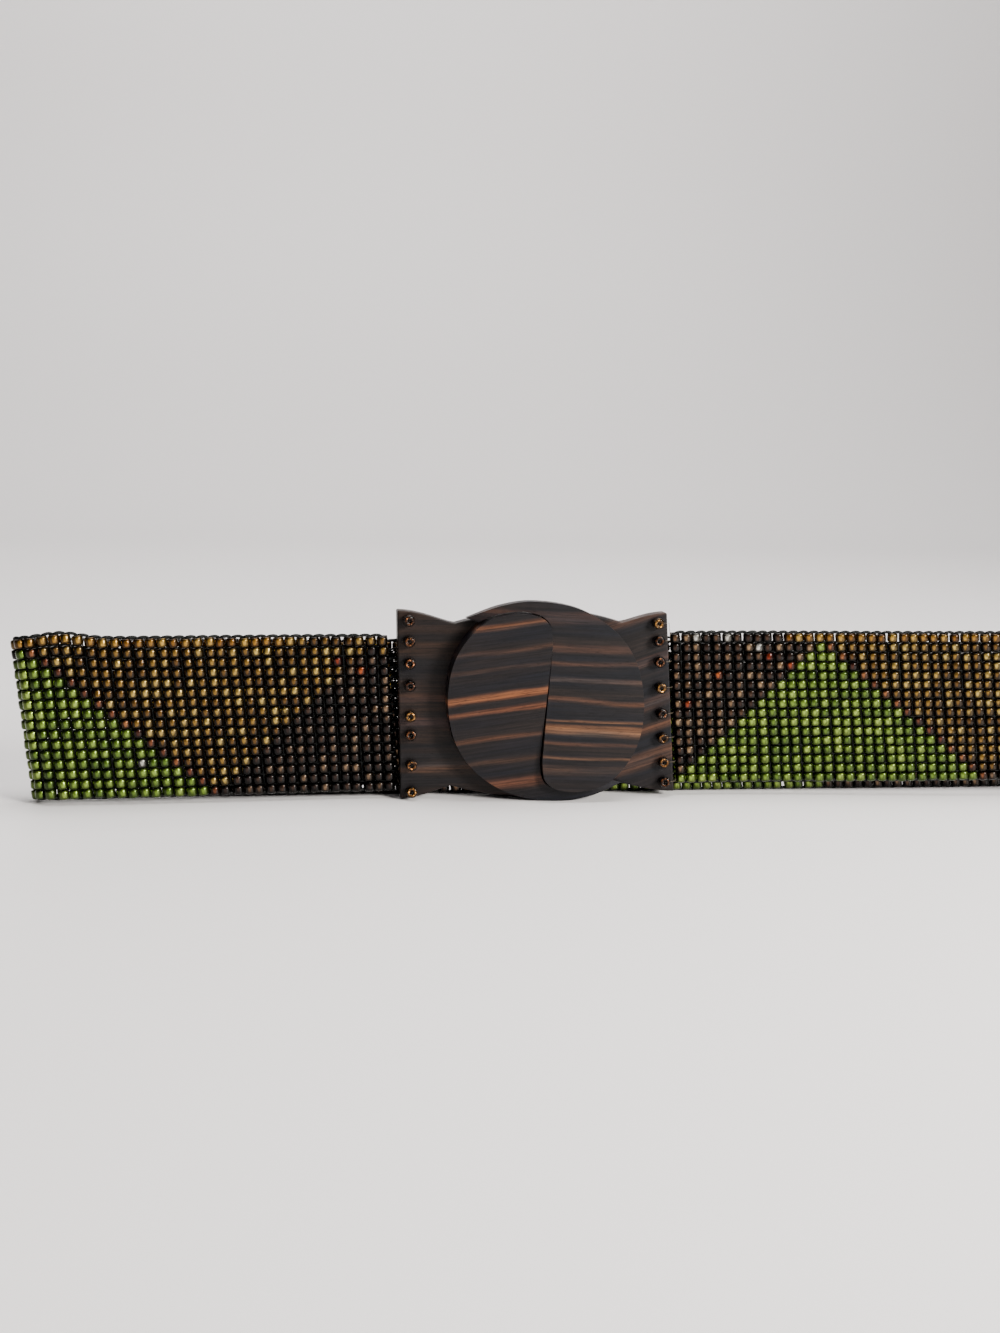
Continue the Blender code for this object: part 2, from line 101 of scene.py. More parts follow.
def smooth_step(share):
    share = np.clip(share, 0.0, 1.0)
    return share * share * (3 - 2 * share)


def band_end(side):
    return WING_REACH[side] + LACE_REACH[side]


def front_depth(side, share):
    """Depth behind the plates' front of a front run, from the buckle at 0 to the fold at 1."""
    fold_depth = BACK_RUN_DEPTH - 2 * FOLD_RADIUS[side]
    start = PLATE_THICKNESS / 2
    return start + (fold_depth - start) * smooth_step(share)


def front_rise(side, share):
    shares = RISE_SHARES[side]
    return shares["wing"] + (shares["fold"] - shares["wing"]) * share


def band_route(right_run):
    """Rows of x, depth and share of the full rise along the band, from the right wing to the left."""
    share = np.linspace(0.0, 1.0, ROUTE_STEPS, endpoint=False)
    turn = math.pi * share
    right, left = FOLD_RADIUS["right"], FOLD_RADIUS["left"]
    right_x = band_end("right") + right_run
    left_x = -band_end("left") - LEFT_RUN
    full = np.ones_like(share)
    back_share = np.append(share, 1.0)
    parts = [
        (band_end("right") + right_run * share, front_depth("right", share), front_rise("right", share)),
        (right_x + right * np.sin(turn), BACK_RUN_DEPTH - right * (1 + np.cos(turn)),
         RISE_SHARES["right"]["fold"] * (1 - smooth_step(share))),
        (right_x + (left_x - right_x) * share, BACK_RUN_DEPTH * full, 0 * full),
        (left_x - left * np.sin(turn), BACK_RUN_DEPTH - left * (1 - np.cos(turn)),
         RISE_SHARES["left"]["fold"] * smooth_step(share)),
        (left_x + LEFT_RUN * back_share, front_depth("left", 1 - back_share),
         front_rise("left", 1 - back_share)),
    ]
    return np.concatenate([np.stack(part, axis=1) for part in parts])


def route_lengths(route):
    steps = np.hypot(np.diff(route[:, 0]), np.diff(route[:, 1]))
    return np.concatenate([[0.0], np.cumsum(steps)])


right_run = LEFT_RUN
for fitting in range(5):
    right_run += (BEAD_PITCH * BAND_COLUMNS - route_lengths(band_route(right_run))[-1]) / 2
ROUTE = band_route(right_run)
ROUTE_LENGTHS = route_lengths(ROUTE)


def band_points(columns, rows):
    """Points of the band's middle surface; column 0 is the right end and row 0 the top edge."""
    travelled = np.asarray(columns, float) * BEAD_PITCH
    heights = 1 - np.asarray(rows, float) / BAND_ROWS
    x, depth, rise = (np.interp(travelled, ROUTE_LENGTHS, ROUTE[:, axis]) for axis in range(3))
    to_end = np.minimum(travelled, ROUTE_LENGTHS[-1] - travelled)
    to_left = smooth_step(travelled / ROUTE_LENGTHS[-1])
    end_slope, fold_slope = (slopes["right"] + (slopes["left"] - slopes["right"]) * to_left
                             for slopes in (END_SLOPE, FOLD_SLOPE))
    slope = end_slope + (fold_slope - end_slope) * smooth_step(to_end / LEAN_RUN)
    bump_place = ROUTE_LENGTHS[-1] - LEFT_RUN + FOLD_BUMP["before_fold"]
    bump = FOLD_BUMP["rise"] * np.exp(-((travelled - bump_place) / FOLD_BUMP["width"]) ** 2)
    z = BAND_HEIGHT * heights + BAND_RISE * rise + bump * np.clip(heights, 0.0, 1.0) ** 3
    place = np.stack([x - slope * (z - BUCKLE_MIDDLE.z), depth, z], axis=-1)
    return place + np.array([BUCKLE_MIDDLE.x, BUCKLE_MIDDLE.y, 0.0])


def unit(vectors):
    return vectors / np.linalg.norm(vectors, axis=-1, keepdims=True)


def band_frames(columns, rows):
    """Unit vectors along the band, out of its face and up its columns at the given places."""
    columns = np.asarray(columns, float)
    rows = np.asarray(rows, float)
    along = unit(band_points(columns + 0.4, rows) - band_points(columns - 0.4, rows))
    up = unit(band_points(columns, rows - 0.4) - band_points(columns, rows + 0.4))
    return along, unit(np.cross(along, up)), up


BEAD_RADIUS = 0.00173
BEAD_LENGTH = 0.00295
BEAD_SIDES = 12
BEAD_PROFILE = (
    {"radius": 0.27, "height": -0.82},
    {"radius": 0.66, "height": -1.00},
    {"radius": 0.93, "height": -0.83},
    {"radius": 1.00, "height": -0.48},
    {"radius": 1.00, "height": 0.48},
    {"radius": 0.93, "height": 0.83},
    {"radius": 0.66, "height": 1.00},
    {"radius": 0.27, "height": 0.82},
)
FIELD_START = 14
FIELD_STEP = 30
UPRIGHT_FIELDS = ("green", "dark_brown", "green", "dark_brown", "green", "dark_brown")
HANGING_FIELDS = ("root_beer", "gold", "root_beer", "gold", "dark_brown", "gold")
AMBER_EDGE_COLUMNS = (11, 158)
COLUMN_SWAY = 0.020
COLUMN_SCATTER = 0.016
ROW_SCATTER = 0.022
LEAN_SCATTER = 0.05
SIZE_SCATTER = 0.022
DEPTH_SCATTER = 0.00007
GLASS_DEPTH = 0.27
# Painted highlight: the bead colour is brightened this many times where a bead faces the camera.
PAINTED_BAR_HIGHLIGHT = 3.0
FOOT_CLEARANCE = 0.00045
# Painted shade: the share of the bead colour kept on the flanks, for green, amber and the other beads.
PAINTED_FLANK_SHADE = {"green": 0.60, "amber": 0.35}
DARK_BEAD_PAINTED_FLANK_SHADE = 0.20
ODD_BEADS = {(33, 4): "gold", (143, 12): "white", (5, 0): "white", (8, 1): "white", (2, 0): "white",
             (4, 4): "red", (9, 2): "red", (1, 7): "red", (161, 2): "red", (163, 3): "red", (11, 3): "red"}
BEAD_TONES = {
    "green": ((0.11, 0.20, 0.022), (0.25, 0.40, 0.045), (0.42, 0.60, 0.09)),
    "gold": ((0.12, 0.055, 0.012), (0.36, 0.20, 0.035), (0.72, 0.50, 0.12)),
    "amber": ((0.22, 0.085, 0.010), (0.45, 0.22, 0.028), (0.70, 0.42, 0.07)),
    "root_beer": ((0.030, 0.014, 0.009), (0.10, 0.050, 0.026), (0.42, 0.26, 0.13)),
    "dark_brown": ((0.022, 0.012, 0.010), (0.065, 0.035, 0.022), (0.26, 0.16, 0.09)),
    "red_brown": ((0.06, 0.018, 0.010), (0.18, 0.055, 0.022), (0.40, 0.15, 0.05)),
    "red": ((0.24, 0.03, 0.01), (0.42, 0.08, 0.02), (0.60, 0.15, 0.03)),
    "white": ((0.62, 0.60, 0.52), (0.75, 0.72, 0.64), (0.85, 0.82, 0.76)),
}


def field_of(column, row):
    """Colour name of the bead at a column and row, from the chart of three-sided fields."""
    if (column, row) in ODD_BEADS:
        return ODD_BEADS[(column, row)]
    if row == 0 and AMBER_EDGE_COLUMNS[0] <= column < AMBER_EDGE_COLUMNS[1]:
        return "amber"
    number = round((column - FIELD_START) / FIELD_STEP)
    off = column - (FIELD_START + FIELD_STEP * number)
    if abs(off) < row:
        return UPRIGHT_FIELDS[number]
    if off == row and UPRIGHT_FIELDS[number] == "green":
        return "red_brown"
    hanging = int((column - FIELD_START) // FIELD_STEP) + 1
    return HANGING_FIELDS[min(hanging, len(HANGING_FIELDS) - 1)]


def bead_shape():
    """Points and four-sided faces of one bead about its own middle, its hole along Z."""
    angles = 2 * math.pi * np.arange(BEAD_SIDES) / BEAD_SIDES
    points = [(BEAD_RADIUS * ring["radius"] * math.cos(angle),
               BEAD_RADIUS * ring["radius"] * math.sin(angle),
               BEAD_LENGTH / 2 * ring["height"]) for ring in BEAD_PROFILE for angle in angles]
    rings = len(BEAD_PROFILE)
    faces = []
    for ring in range(rings):
        for side in range(BEAD_SIDES):
            following = (side + 1) % BEAD_SIDES
            upper = (ring + 1) % rings
            faces.append((ring * BEAD_SIDES + side, ring * BEAD_SIDES + following,
                          upper * BEAD_SIDES + following, upper * BEAD_SIDES + side))
    return np.array(points), np.array(faces)


def joined_copies(name, shape, places, turns, shades):
    """One mesh of many copies of a shape, each with its own place, turn and shade."""
    points, faces = shape
    all_points = np.einsum("nij,pj->npi", turns, points) + places[:, None, :]
    offsets = len(points) * np.arange(len(places))
    all_faces = faces[None, :, :] + offsets[:, None, None]
    mesh = bpy.data.meshes.new(name)
    mesh.from_pydata(all_points.reshape(-1, 3), [], all_faces.reshape(-1, 4))
    mesh.shade_smooth()
    shade = mesh.attributes.new("bead_shade", "FLOAT", "POINT")
    shade.data.foreach_set("value", np.repeat(shades, len(points)).astype(np.float32))
    item = bpy.data.objects.new(name, mesh)
    bpy.context.scene.collection.objects.link(item)
    return item


def glass_bead_material(name, shades, painted_flank_shade):
    """Silver-lined glass: metallic under a clear glossy coat, with a painted highlight down the middle
    where the bead faces the camera and painted shade on its flanks.
    """
    material = bpy.data.materials.new(name)
    material.use_nodes = True
    nodes = material.node_tree.nodes
    links = material.node_tree.links
    shader = nodes["Principled BSDF"]
    shade = nodes.new("ShaderNodeAttribute")
    shade.attribute_name = "bead_shade"
    ramp = nodes.new("ShaderNodeValToRGB")
    deep, plain, bright = ([GLASS_DEPTH * value for value in shade_color] for shade_color in shades)
    ramp.color_ramp.elements[0].position = 0.0
    ramp.color_ramp.elements[0].color = (*deep, 1.0)
    ramp.color_ramp.elements[1].position = 1.0
    ramp.color_ramp.elements[1].color = (*bright, 1.0)
    middle = ramp.color_ramp.elements.new(0.55)
    middle.color = (*plain, 1.0)
    links.new(shade.outputs["Fac"], ramp.inputs["Fac"])
    # Painted highlight and shade: the base colour is brightened where the bead faces the camera, a painted
    # highlight down its middle, and darkened towards its sides, painted shade on its flanks.
    edge = nodes.new("ShaderNodeLayerWeight")
    edge.inputs["Blend"].default_value = 0.5
    painted_highlight_and_shade = nodes.new("ShaderNodeMapRange")
    painted_highlight_and_shade.interpolation_type = "SMOOTHSTEP"
    painted_highlight_and_shade.inputs["From Min"].default_value = 0.0
    painted_highlight_and_shade.inputs["From Max"].default_value = 0.10
    painted_highlight_and_shade.inputs["To Min"].default_value = PAINTED_BAR_HIGHLIGHT
    painted_highlight_and_shade.inputs["To Max"].default_value = painted_flank_shade
    links.new(edge.outputs["Facing"], painted_highlight_and_shade.inputs["Value"])
    painted_light_mix = nodes.new("ShaderNodeMix")
    painted_light_mix.data_type = "RGBA"
    painted_light_mix.blend_type = "MULTIPLY"
    painted_light_mix.inputs["Factor"].default_value = 1.0
    links.new(ramp.outputs["Color"], painted_light_mix.inputs["A"])
    links.new(painted_highlight_and_shade.outputs["Result"], painted_light_mix.inputs["B"])
    links.new(painted_light_mix.outputs["Result"], shader.inputs["Base Color"])
    shader.inputs["Metallic"].default_value = 0.92
    shader.inputs["Roughness"].default_value = 0.29
    shader.inputs["Coat Weight"].default_value = 0.20
    shader.inputs["Coat Roughness"].default_value = 0.06
    return material


chance = np.random.RandomState(21)
chart = {}
for column in range(BAND_COLUMNS):
    for row in range(BAND_ROWS):
        chart.setdefault(field_of(column, row), []).append((column, row))
column_sway = np.cumsum(chance.normal(0, 1.0, (BAND_COLUMNS, BAND_ROWS)), axis=1)
column_sway = (column_sway - column_sway.mean(axis=1, keepdims=True)) * COLUMN_SWAY
seed_bead = bead_shape()
bead_pieces = []
for field, cells in sorted(chart.items()):
    cells = np.array(cells, float)
    columns = cells[:, 0] + 0.5 + chance.normal(0, COLUMN_SCATTER, len(cells))
    columns += column_sway[cells[:, 0].astype(int), cells[:, 1].astype(int)]
    rows = cells[:, 1] + 0.5 + chance.normal(0, ROW_SCATTER, len(cells))
    along, out, up = band_frames(columns, rows)
    lean = chance.normal(0, LEAN_SCATTER, (len(cells), 2))
    axis = unit(up + along * lean[:, :1] + out * lean[:, 1:])
    across = unit(np.cross(axis, along))
    size = 1 + chance.normal(0, SIZE_SCATTER, (len(cells), 1, 1))
    turns = np.stack([np.cross(across, axis), across, axis], axis=-1) * size
    places = band_points(columns, rows) + out * chance.normal(0, DEPTH_SCATTER, (len(cells), 1))
    places[:, 2] = np.maximum(places[:, 2], BEAD_LENGTH / 2 + FOOT_CLEARANCE)
    beads = joined_copies("seed_beads_" + field, seed_bead, places, turns, chance.uniform(0, 1, len(cells)))
    # Each field's painted shade on the bead flanks.
    painted_flank_shade = PAINTED_FLANK_SHADE.get(field, DARK_BEAD_PAINTED_FLANK_SHADE)
    beads.data.materials.append(glass_bead_material("glass_" + field, BEAD_TONES[field], painted_flank_shade))
    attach(beads, "root")
    bead_pieces.append(beads)
for beads in bead_pieces:
    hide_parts("beaded_band")


# Warp threads and edge loops
# Dark waxed thread runs the length of the band between the rows of beads, over one column and under the
# next. More dark thread runs down between the columns as painted shade: it fills the gaps between the
# columns with dark where there is only shade. Thread also loops over both long edges from each column
# to its neighbour.
THREAD_SIDES = 6
WARP_RADIUS = 0.00022
WARP_WEAVE = 0.00035
SHADE_FILLER_THREAD_RADIUS = 0.00034
WARP_STEPS = 4
LOOP_RADIUS = 0.00050
EDGE_LOOPS = (
    {"row": 0.0, "swell": 0.0006, "lift": -0.0003},
    {"row": float(BAND_ROWS), "swell": -0.0004, "lift": 0.0009},
)
LOOP_ROUNDNESS = 0.6
LOOP_SWING = 0.0003
WARP_SCATTER = 0.012
LOOP_STEPS = 6


def thread_mesh(name, paths, radius):
    """Closed round threads along paths, each a pair of points and the directions that face out of them."""
    angles = 2 * math.pi * np.arange(THREAD_SIDES) / THREAD_SIDES
    points = []
    faces = []
    base = 0
    for path, facing in paths:
        along = unit(np.gradient(path, axis=0))
        side = unit(np.cross(along, facing))
        out = np.cross(side, along)
        rings = (path[:, None, :] + radius * (np.cos(angles)[None, :, None] * side[:, None, :]
                                              + np.sin(angles)[None, :, None] * out[:, None, :]))
        points.append(rings.reshape(-1, 3))
        for ring in range(len(path) - 1):
            low = base + ring * THREAD_SIDES
            for corner in range(THREAD_SIDES):
                following = (corner + 1) % THREAD_SIDES
                faces.append((low + corner, low + following, low + THREAD_SIDES + following,
                              low + THREAD_SIDES + corner))
        faces.append(tuple(base + corner for corner in reversed(range(THREAD_SIDES))))
        base += len(path) * THREAD_SIDES
        faces.append(tuple(base - THREAD_SIDES + corner for corner in range(THREAD_SIDES)))
    mesh = bpy.data.meshes.new(name)
    mesh.from_pydata(np.concatenate(points), [], faces)
    mesh.shade_smooth()
    item = bpy.data.objects.new(name, mesh)
    bpy.context.scene.collection.objects.link(item)
    return item


def thread_material(name, dark, light, twist):
    """Waxed thread with a fine twist of darker and lighter fibres."""
    material = bpy.data.materials.new(name)
    material.use_nodes = True
    nodes = material.node_tree.nodes
    links = material.node_tree.links
    shader = nodes["Principled BSDF"]
    place = nodes.new("ShaderNodeTexCoord")
    fibre = nodes.new("ShaderNodeTexNoise")
    fibre.inputs["Scale"].default_value = twist
    fibre.inputs["Detail"].default_value = 3.0
    ramp = nodes.new("ShaderNodeValToRGB")
    ramp.color_ramp.elements[0].position = 0.35
    ramp.color_ramp.elements[0].color = (*dark, 1.0)
    ramp.color_ramp.elements[1].position = 0.70
    ramp.color_ramp.elements[1].color = (*light, 1.0)
    links.new(place.outputs["Object"], fibre.inputs["Vector"])
    links.new(fibre.outputs["Fac"], ramp.inputs["Fac"])
    links.new(ramp.outputs["Color"], shader.inputs["Base Color"])
    bump = nodes.new("ShaderNodeBump")
    bump.inputs["Strength"].default_value = 0.4
    bump.inputs["Distance"].default_value = 0.0001
    links.new(fibre.outputs["Fac"], bump.inputs["Height"])
    links.new(bump.outputs["Normal"], shader.inputs["Normal"])
    shader.inputs["Roughness"].default_value = 0.55
    shader.inputs["Specular IOR Level"].default_value = 0.12
    return material


dark_thread = thread_material("dark_waxed_thread", (0.0016, 0.002, 0.002), (0.006, 0.007, 0.007), 3000.0)
warp_columns = np.linspace(0.0, BAND_COLUMNS, BAND_COLUMNS * WARP_STEPS // 2 + 1)
warps = []
for line in range(BAND_ROWS + 1):
    rows = np.full_like(warp_columns, line) + chance.normal(0, WARP_SCATTER, len(warp_columns))
    along, out, up = band_frames(warp_columns, rows)
    weave = WARP_WEAVE * np.cos(math.pi * (warp_columns + line))[:, None]
    path = band_points(warp_columns, rows) + out * weave
    path[:, 2] = np.maximum(path[:, 2], WARP_RADIUS)
    warps.append((path, out))
warp_threads = thread_mesh("warp_threads", warps, WARP_RADIUS)
warp_threads.data.materials.append(dark_thread)
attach(warp_threads, "root")

# Painted shade: dark threads between the bead columns fill the gaps with dark, standing in for the shade
# there.
shade_filler_rows = np.arange(BAND_ROWS + 1, dtype=float)[1:-1]
shade_filler_paths = []
for column in range(1, BAND_COLUMNS):
    columns = np.full_like(shade_filler_rows, column)
    along, out, up = band_frames(columns, shade_filler_rows)
    shade_filler_paths.append((band_points(columns, shade_filler_rows), out))
shade_filler_threads = thread_mesh("shade_filler_threads", shade_filler_paths, SHADE_FILLER_THREAD_RADIUS)
shade_filler_threads.data.materials.append(dark_thread)
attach(shade_filler_threads, "root")

loops = []
for edge in EDGE_LOOPS:
    for column in range(BAND_COLUMNS - 1):
        share = np.linspace(0.0, 1.0, LOOP_STEPS + 1)
        columns = column + 0.5 + share
        rows = np.full_like(columns, edge["row"])
        along, out, up = band_frames(columns, rows)
        rise = edge["swell"] * np.abs(np.sin(math.pi * share)) ** LOOP_ROUNDNESS + edge["lift"]
        swing = LOOP_SWING * np.sin(2 * math.pi * share)
        loops.append((band_points(columns, rows) + up * rise[:, None] + out * swing[:, None], out))
edge_loops = thread_mesh("edge_loops", loops, LOOP_RADIUS)
edge_loops.data.materials.append(dark_thread)
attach(edge_loops, "root")


# Buckle plates
# Two flat pieces of dark striped wood, each a flared wing with a column of drilled holes, a waist and half
# of the round lobe behind the heads. Their edges are sanded to a small round.
WING_HEIGHT = {"left": 0.0608, "right": 0.0592}
WING_LENGTH = 0.0176
WING_SLOPE = {"left": 0.035, "right": 0.084}
PLATE_DROP = {"left": 0.0009, "right": 0.0003}
WAIST_HEIGHT = 0.0528
LOBE_HEIGHT = 0.0608
FLARE_BIAS = 0.75
PLATE_SEAM = 0.0004
PLATE_EDGE = 0.0006
OUTLINE_STEPS = 26
SEAT_GAP = 0.0003
STUD_INSET = 0.0035
HOLE_RADIUS = 0.0007
HOLE_SIDES = 16
STUD_HEIGHTS = {
    "left": (0.898, 0.679, 0.449, 0.216, -0.108, -0.309, -0.631, -0.920),
    "right": (0.890, 0.695, 0.463, 0.176, -0.112, -0.383, -0.662, -0.882),
}


def carved_slab(name, outline, thickness):
    """Flat piece cut to an outline in x and height, its faces at depth 0 and thickness."""
    curve = bpy.data.curves.new(name + "_outline", "CURVE")
    curve.dimensions = "2D"
    curve.fill_mode = "BOTH"
    curve.extrude = thickness / 2
    spline = curve.splines.new("POLY")
    spline.points.add(len(outline) - 1)
    for point, (x, z) in zip(spline.points, outline):
        point.co = (x, z, 0.0, 1.0)
    spline.use_cyclic_u = True
    drawn = bpy.data.objects.new(name + "_outline", curve)
    bpy.context.scene.collection.objects.link(drawn)
    graph = bpy.context.evaluated_depsgraph_get()
    mesh = bpy.data.meshes.new_from_object(drawn.evaluated_get(graph))
    bpy.data.objects.remove(drawn, do_unlink=True)
    bm = bmesh.new()
    bm.from_mesh(mesh)
    bmesh.ops.remove_doubles(bm, verts=bm.verts, dist=0.00001)
    bmesh.ops.dissolve_limit(bm, angle_limit=math.radians(0.5), verts=bm.verts, edges=bm.edges)
    bmesh.ops.rotate(bm, verts=bm.verts, matrix=Matrix.Rotation(math.radians(90), 3, "X"))
    bmesh.ops.translate(bm, verts=bm.verts, vec=(0, thickness / 2, 0))
    bmesh.ops.recalc_face_normals(bm, faces=bm.faces)
    bm.to_mesh(mesh)
    bm.free()
    item = bpy.data.objects.new(name, mesh)
    bpy.context.scene.collection.objects.link(item)
    return item


def finish_modifiers(item):
    """Puts the result of a piece's modifiers into its mesh."""
    graph = bpy.context.evaluated_depsgraph_get()
    mesh = bpy.data.meshes.new_from_object(item.evaluated_get(graph))
    item.modifiers.clear()
    item.data = mesh


def round_edges(item, width, segments):
    bevel = item.modifiers.new("sanded edges", "BEVEL")
    bevel.width = width
    bevel.segments = segments
    bevel.limit_method = "ANGLE"
    bevel.angle_limit = math.radians(45)
    bevel.harden_normals = True


def plate_outline(side):
    """Half-plate of one side, from the seam at the top round the wing and back to the seam at the foot."""
    direction = 1 if side == "right" else -1
    waist_x = WING_REACH[side] - WING_LENGTH
    drop = (LOBE_HEIGHT - WAIST_HEIGHT) / 2
    radius = (waist_x * waist_x + drop * drop) / (2 * drop)
    upper = []
    for step in range(OUTLINE_STEPS + 1):
        x = PLATE_SEAM / 2 + (waist_x - PLATE_SEAM / 2) * step / OUTLINE_STEPS
        upper.append((x, LOBE_HEIGHT / 2 - radius + math.sqrt(radius * radius - x * x)))
    for step in range(1, OUTLINE_STEPS + 1):
        share = step / OUTLINE_STEPS
        flare = float(smooth_step(share ** FLARE_BIAS))
        upper.append((waist_x + WING_LENGTH * share,
                      (WAIST_HEIGHT + (WING_HEIGHT[side] - WAIST_HEIGHT) * flare) / 2))
    lower = [(x, -z) for x, z in reversed(upper)]
    outline = [(direction * x - WING_SLOPE[side] * z * max(0.0, x - waist_x) / WING_LENGTH,
                z - PLATE_DROP[side])
               for x, z in upper + lower]
    return outline if side == "right" else list(reversed(outline))


def stud_places(side):
    """Middle of each stud bead's hole, from the middle of the buckle."""
    direction = 1 if side == "right" else -1
    heights = [share * WING_HEIGHT[side] / 2 for share in STUD_HEIGHTS[side]]
    x = direction * (WING_REACH[side] - STUD_INSET)
    return [(x - WING_SLOPE[side] * z, z - PLATE_DROP[side]) for z in heights]


WOOD_DEPTH = 0.42
FLICKER_SHARE = 0.22


def striped_wood(name, stripes, tilt, wander, seed, ground):
    """Dark wood with charted stripes: height and half width in metres, and a colour for each stripe."""
    material = bpy.data.materials.new(name)
    material.use_nodes = True
    nodes = material.node_tree.nodes
    links = material.node_tree.links
    shader = nodes["Principled BSDF"]
    place = nodes.new("ShaderNodeTexCoord")
    turned = nodes.new("ShaderNodeMapping")
    turned.inputs["Location"].default_value = (seed * 0.37, seed * 0.11, 0.0)
    turned.inputs["Rotation"].default_value = (0.0, tilt, 0.0)
    links.new(place.outputs["Object"], turned.inputs["Vector"])

    def stretched(scale, detail, rough):
        squeeze = nodes.new("ShaderNodeMapping")
        squeeze.inputs["Scale"].default_value = scale
        noise = nodes.new("ShaderNodeTexNoise")
        noise.inputs["Scale"].default_value = 1.0
        noise.inputs["Detail"].default_value = detail
        noise.inputs["Roughness"].default_value = rough
        links.new(turned.outputs["Vector"], squeeze.inputs["Vector"])
        links.new(squeeze.outputs["Vector"], noise.inputs["Vector"])
        return noise.outputs["Fac"]

    def reckon(operation, first, second):
        node = nodes.new("ShaderNodeMath")
        node.operation = operation
        for socket, value in zip(node.inputs, (first, second)):
            if isinstance(value, (int, float)):
                socket.default_value = value
            else:
                links.new(value, socket)
        return node.outputs["Value"]

    height = nodes.new("ShaderNodeSeparateXYZ")
    links.new(turned.outputs["Vector"], height.inputs["Vector"])
    drift = reckon("MULTIPLY", reckon("SUBTRACT", stretched((26.0, 26.0, 60.0), 2.0, 0.5), 0.5), wander)
    flicker = reckon("MULTIPLY", reckon("SUBTRACT", stretched((60.0, 60.0, 900.0), 3.0, 0.6), 0.5),
                     wander * FLICKER_SHARE)
    level = reckon("ADD", reckon("ADD", height.outputs["Z"], drift), flicker)
    low = ground["low"]
    high = ground["high"]
    chart = nodes.new("ShaderNodeValToRGB")
    chart.color_ramp.interpolation = "EASE"
    stops = [(0.0, ground["color"])]
    for stripe in sorted(stripes, key=lambda row: row["z"]):
        oiled = tuple(WOOD_DEPTH * value for value in stripe["color"])
        for step, color in ((-1.25, ground["color"]), (0.0, oiled), (1.25, ground["color"])):
            at = (stripe["z"] + step * stripe["half"] - low) / (high - low)
            stops.append((min(1.0, max(stops[-1][0] + 0.0005, at)), color))
    elements = chart.color_ramp.elements
    elements[0].position, elements[0].color = stops[0][0], (*stops[0][1], 1.0)
    elements[1].position, elements[1].color = 1.0, (*ground["color"], 1.0)
    for at, color in stops[1:]:
        elements.new(at).color = (*color, 1.0)
    spread = nodes.new("ShaderNodeMapRange")
    spread.inputs["From Min"].default_value = low
    spread.inputs["From Max"].default_value = high
    links.new(level, spread.inputs["Value"])
    links.new(spread.outputs["Result"], chart.inputs["Fac"])

    streaks = nodes.new("ShaderNodeValToRGB")
    streaks.color_ramp.elements[0].position = 0.36
    streaks.color_ramp.elements[0].color = (0.30, 0.30, 0.32, 1.0)
    streaks.color_ramp.elements[1].position = 0.66
    streaks.color_ramp.elements[1].color = (1.45, 1.38, 1.30, 1.0)
    links.new(stretched((45.0, 45.0, 1700.0), 5.0, 0.65), streaks.inputs["Fac"])
    tinted = nodes.new("ShaderNodeMix")
    tinted.data_type = "RGBA"
    tinted.blend_type = "MULTIPLY"
    tinted.inputs["Factor"].default_value = 0.85
    links.new(chart.outputs["Color"], tinted.inputs["A"])
    links.new(streaks.outputs["Color"], tinted.inputs["B"])
    clouds = nodes.new("ShaderNodeValToRGB")
    clouds.color_ramp.elements[0].position = 0.38
    clouds.color_ramp.elements[0].color = (0.62, 0.72, 1.0, 1.0)
    clouds.color_ramp.elements[1].position = 0.62
    clouds.color_ramp.elements[1].color = (2.0, 1.35, 0.95, 1.0)
    links.new(stretched((13.0, 13.0, 170.0), 3.0, 0.55), clouds.inputs["Fac"])
    clouded = nodes.new("ShaderNodeMix")
    clouded.data_type = "RGBA"
    clouded.blend_type = "MULTIPLY"
    clouded.inputs["Factor"].default_value = 0.9
    links.new(tinted.outputs["Result"], clouded.inputs["A"])
    links.new(clouds.outputs["Color"], clouded.inputs["B"])
    pores = nodes.new("ShaderNodeValToRGB")
    pores.color_ramp.elements[0].position = 0.30
    pores.color_ramp.elements[0].color = (0.35, 0.33, 0.33, 1.0)
    pores.color_ramp.elements[1].position = 0.42
    pores.color_ramp.elements[1].color = (1.0, 1.0, 1.0, 1.0)
    fine = stretched((420.0, 420.0, 5200.0), 2.0, 0.5)
    links.new(fine, pores.inputs["Fac"])
    pored = nodes.new("ShaderNodeMix")
    pored.data_type = "RGBA"
    pored.blend_type = "MULTIPLY"
    pored.inputs["Factor"].default_value = 0.8
    links.new(clouded.outputs["Result"], pored.inputs["A"])
    links.new(pores.outputs["Color"], pored.inputs["B"])
    links.new(pored.outputs["Result"], shader.inputs["Base Color"])
    polish = nodes.new("ShaderNodeMapRange")
    polish.inputs["To Min"].default_value = 0.34
    polish.inputs["To Max"].default_value = 0.52
    links.new(fine, polish.inputs["Value"])
    links.new(polish.outputs["Result"], shader.inputs["Roughness"])
    bump = nodes.new("ShaderNodeBump")
    bump.inputs["Strength"].default_value = 0.22
    bump.inputs["Distance"].default_value = 0.00012
    links.new(fine, bump.inputs["Height"])
    links.new(bump.outputs["Normal"], shader.inputs["Normal"])
    shader.inputs["Specular IOR Level"].default_value = 0.16
    return material


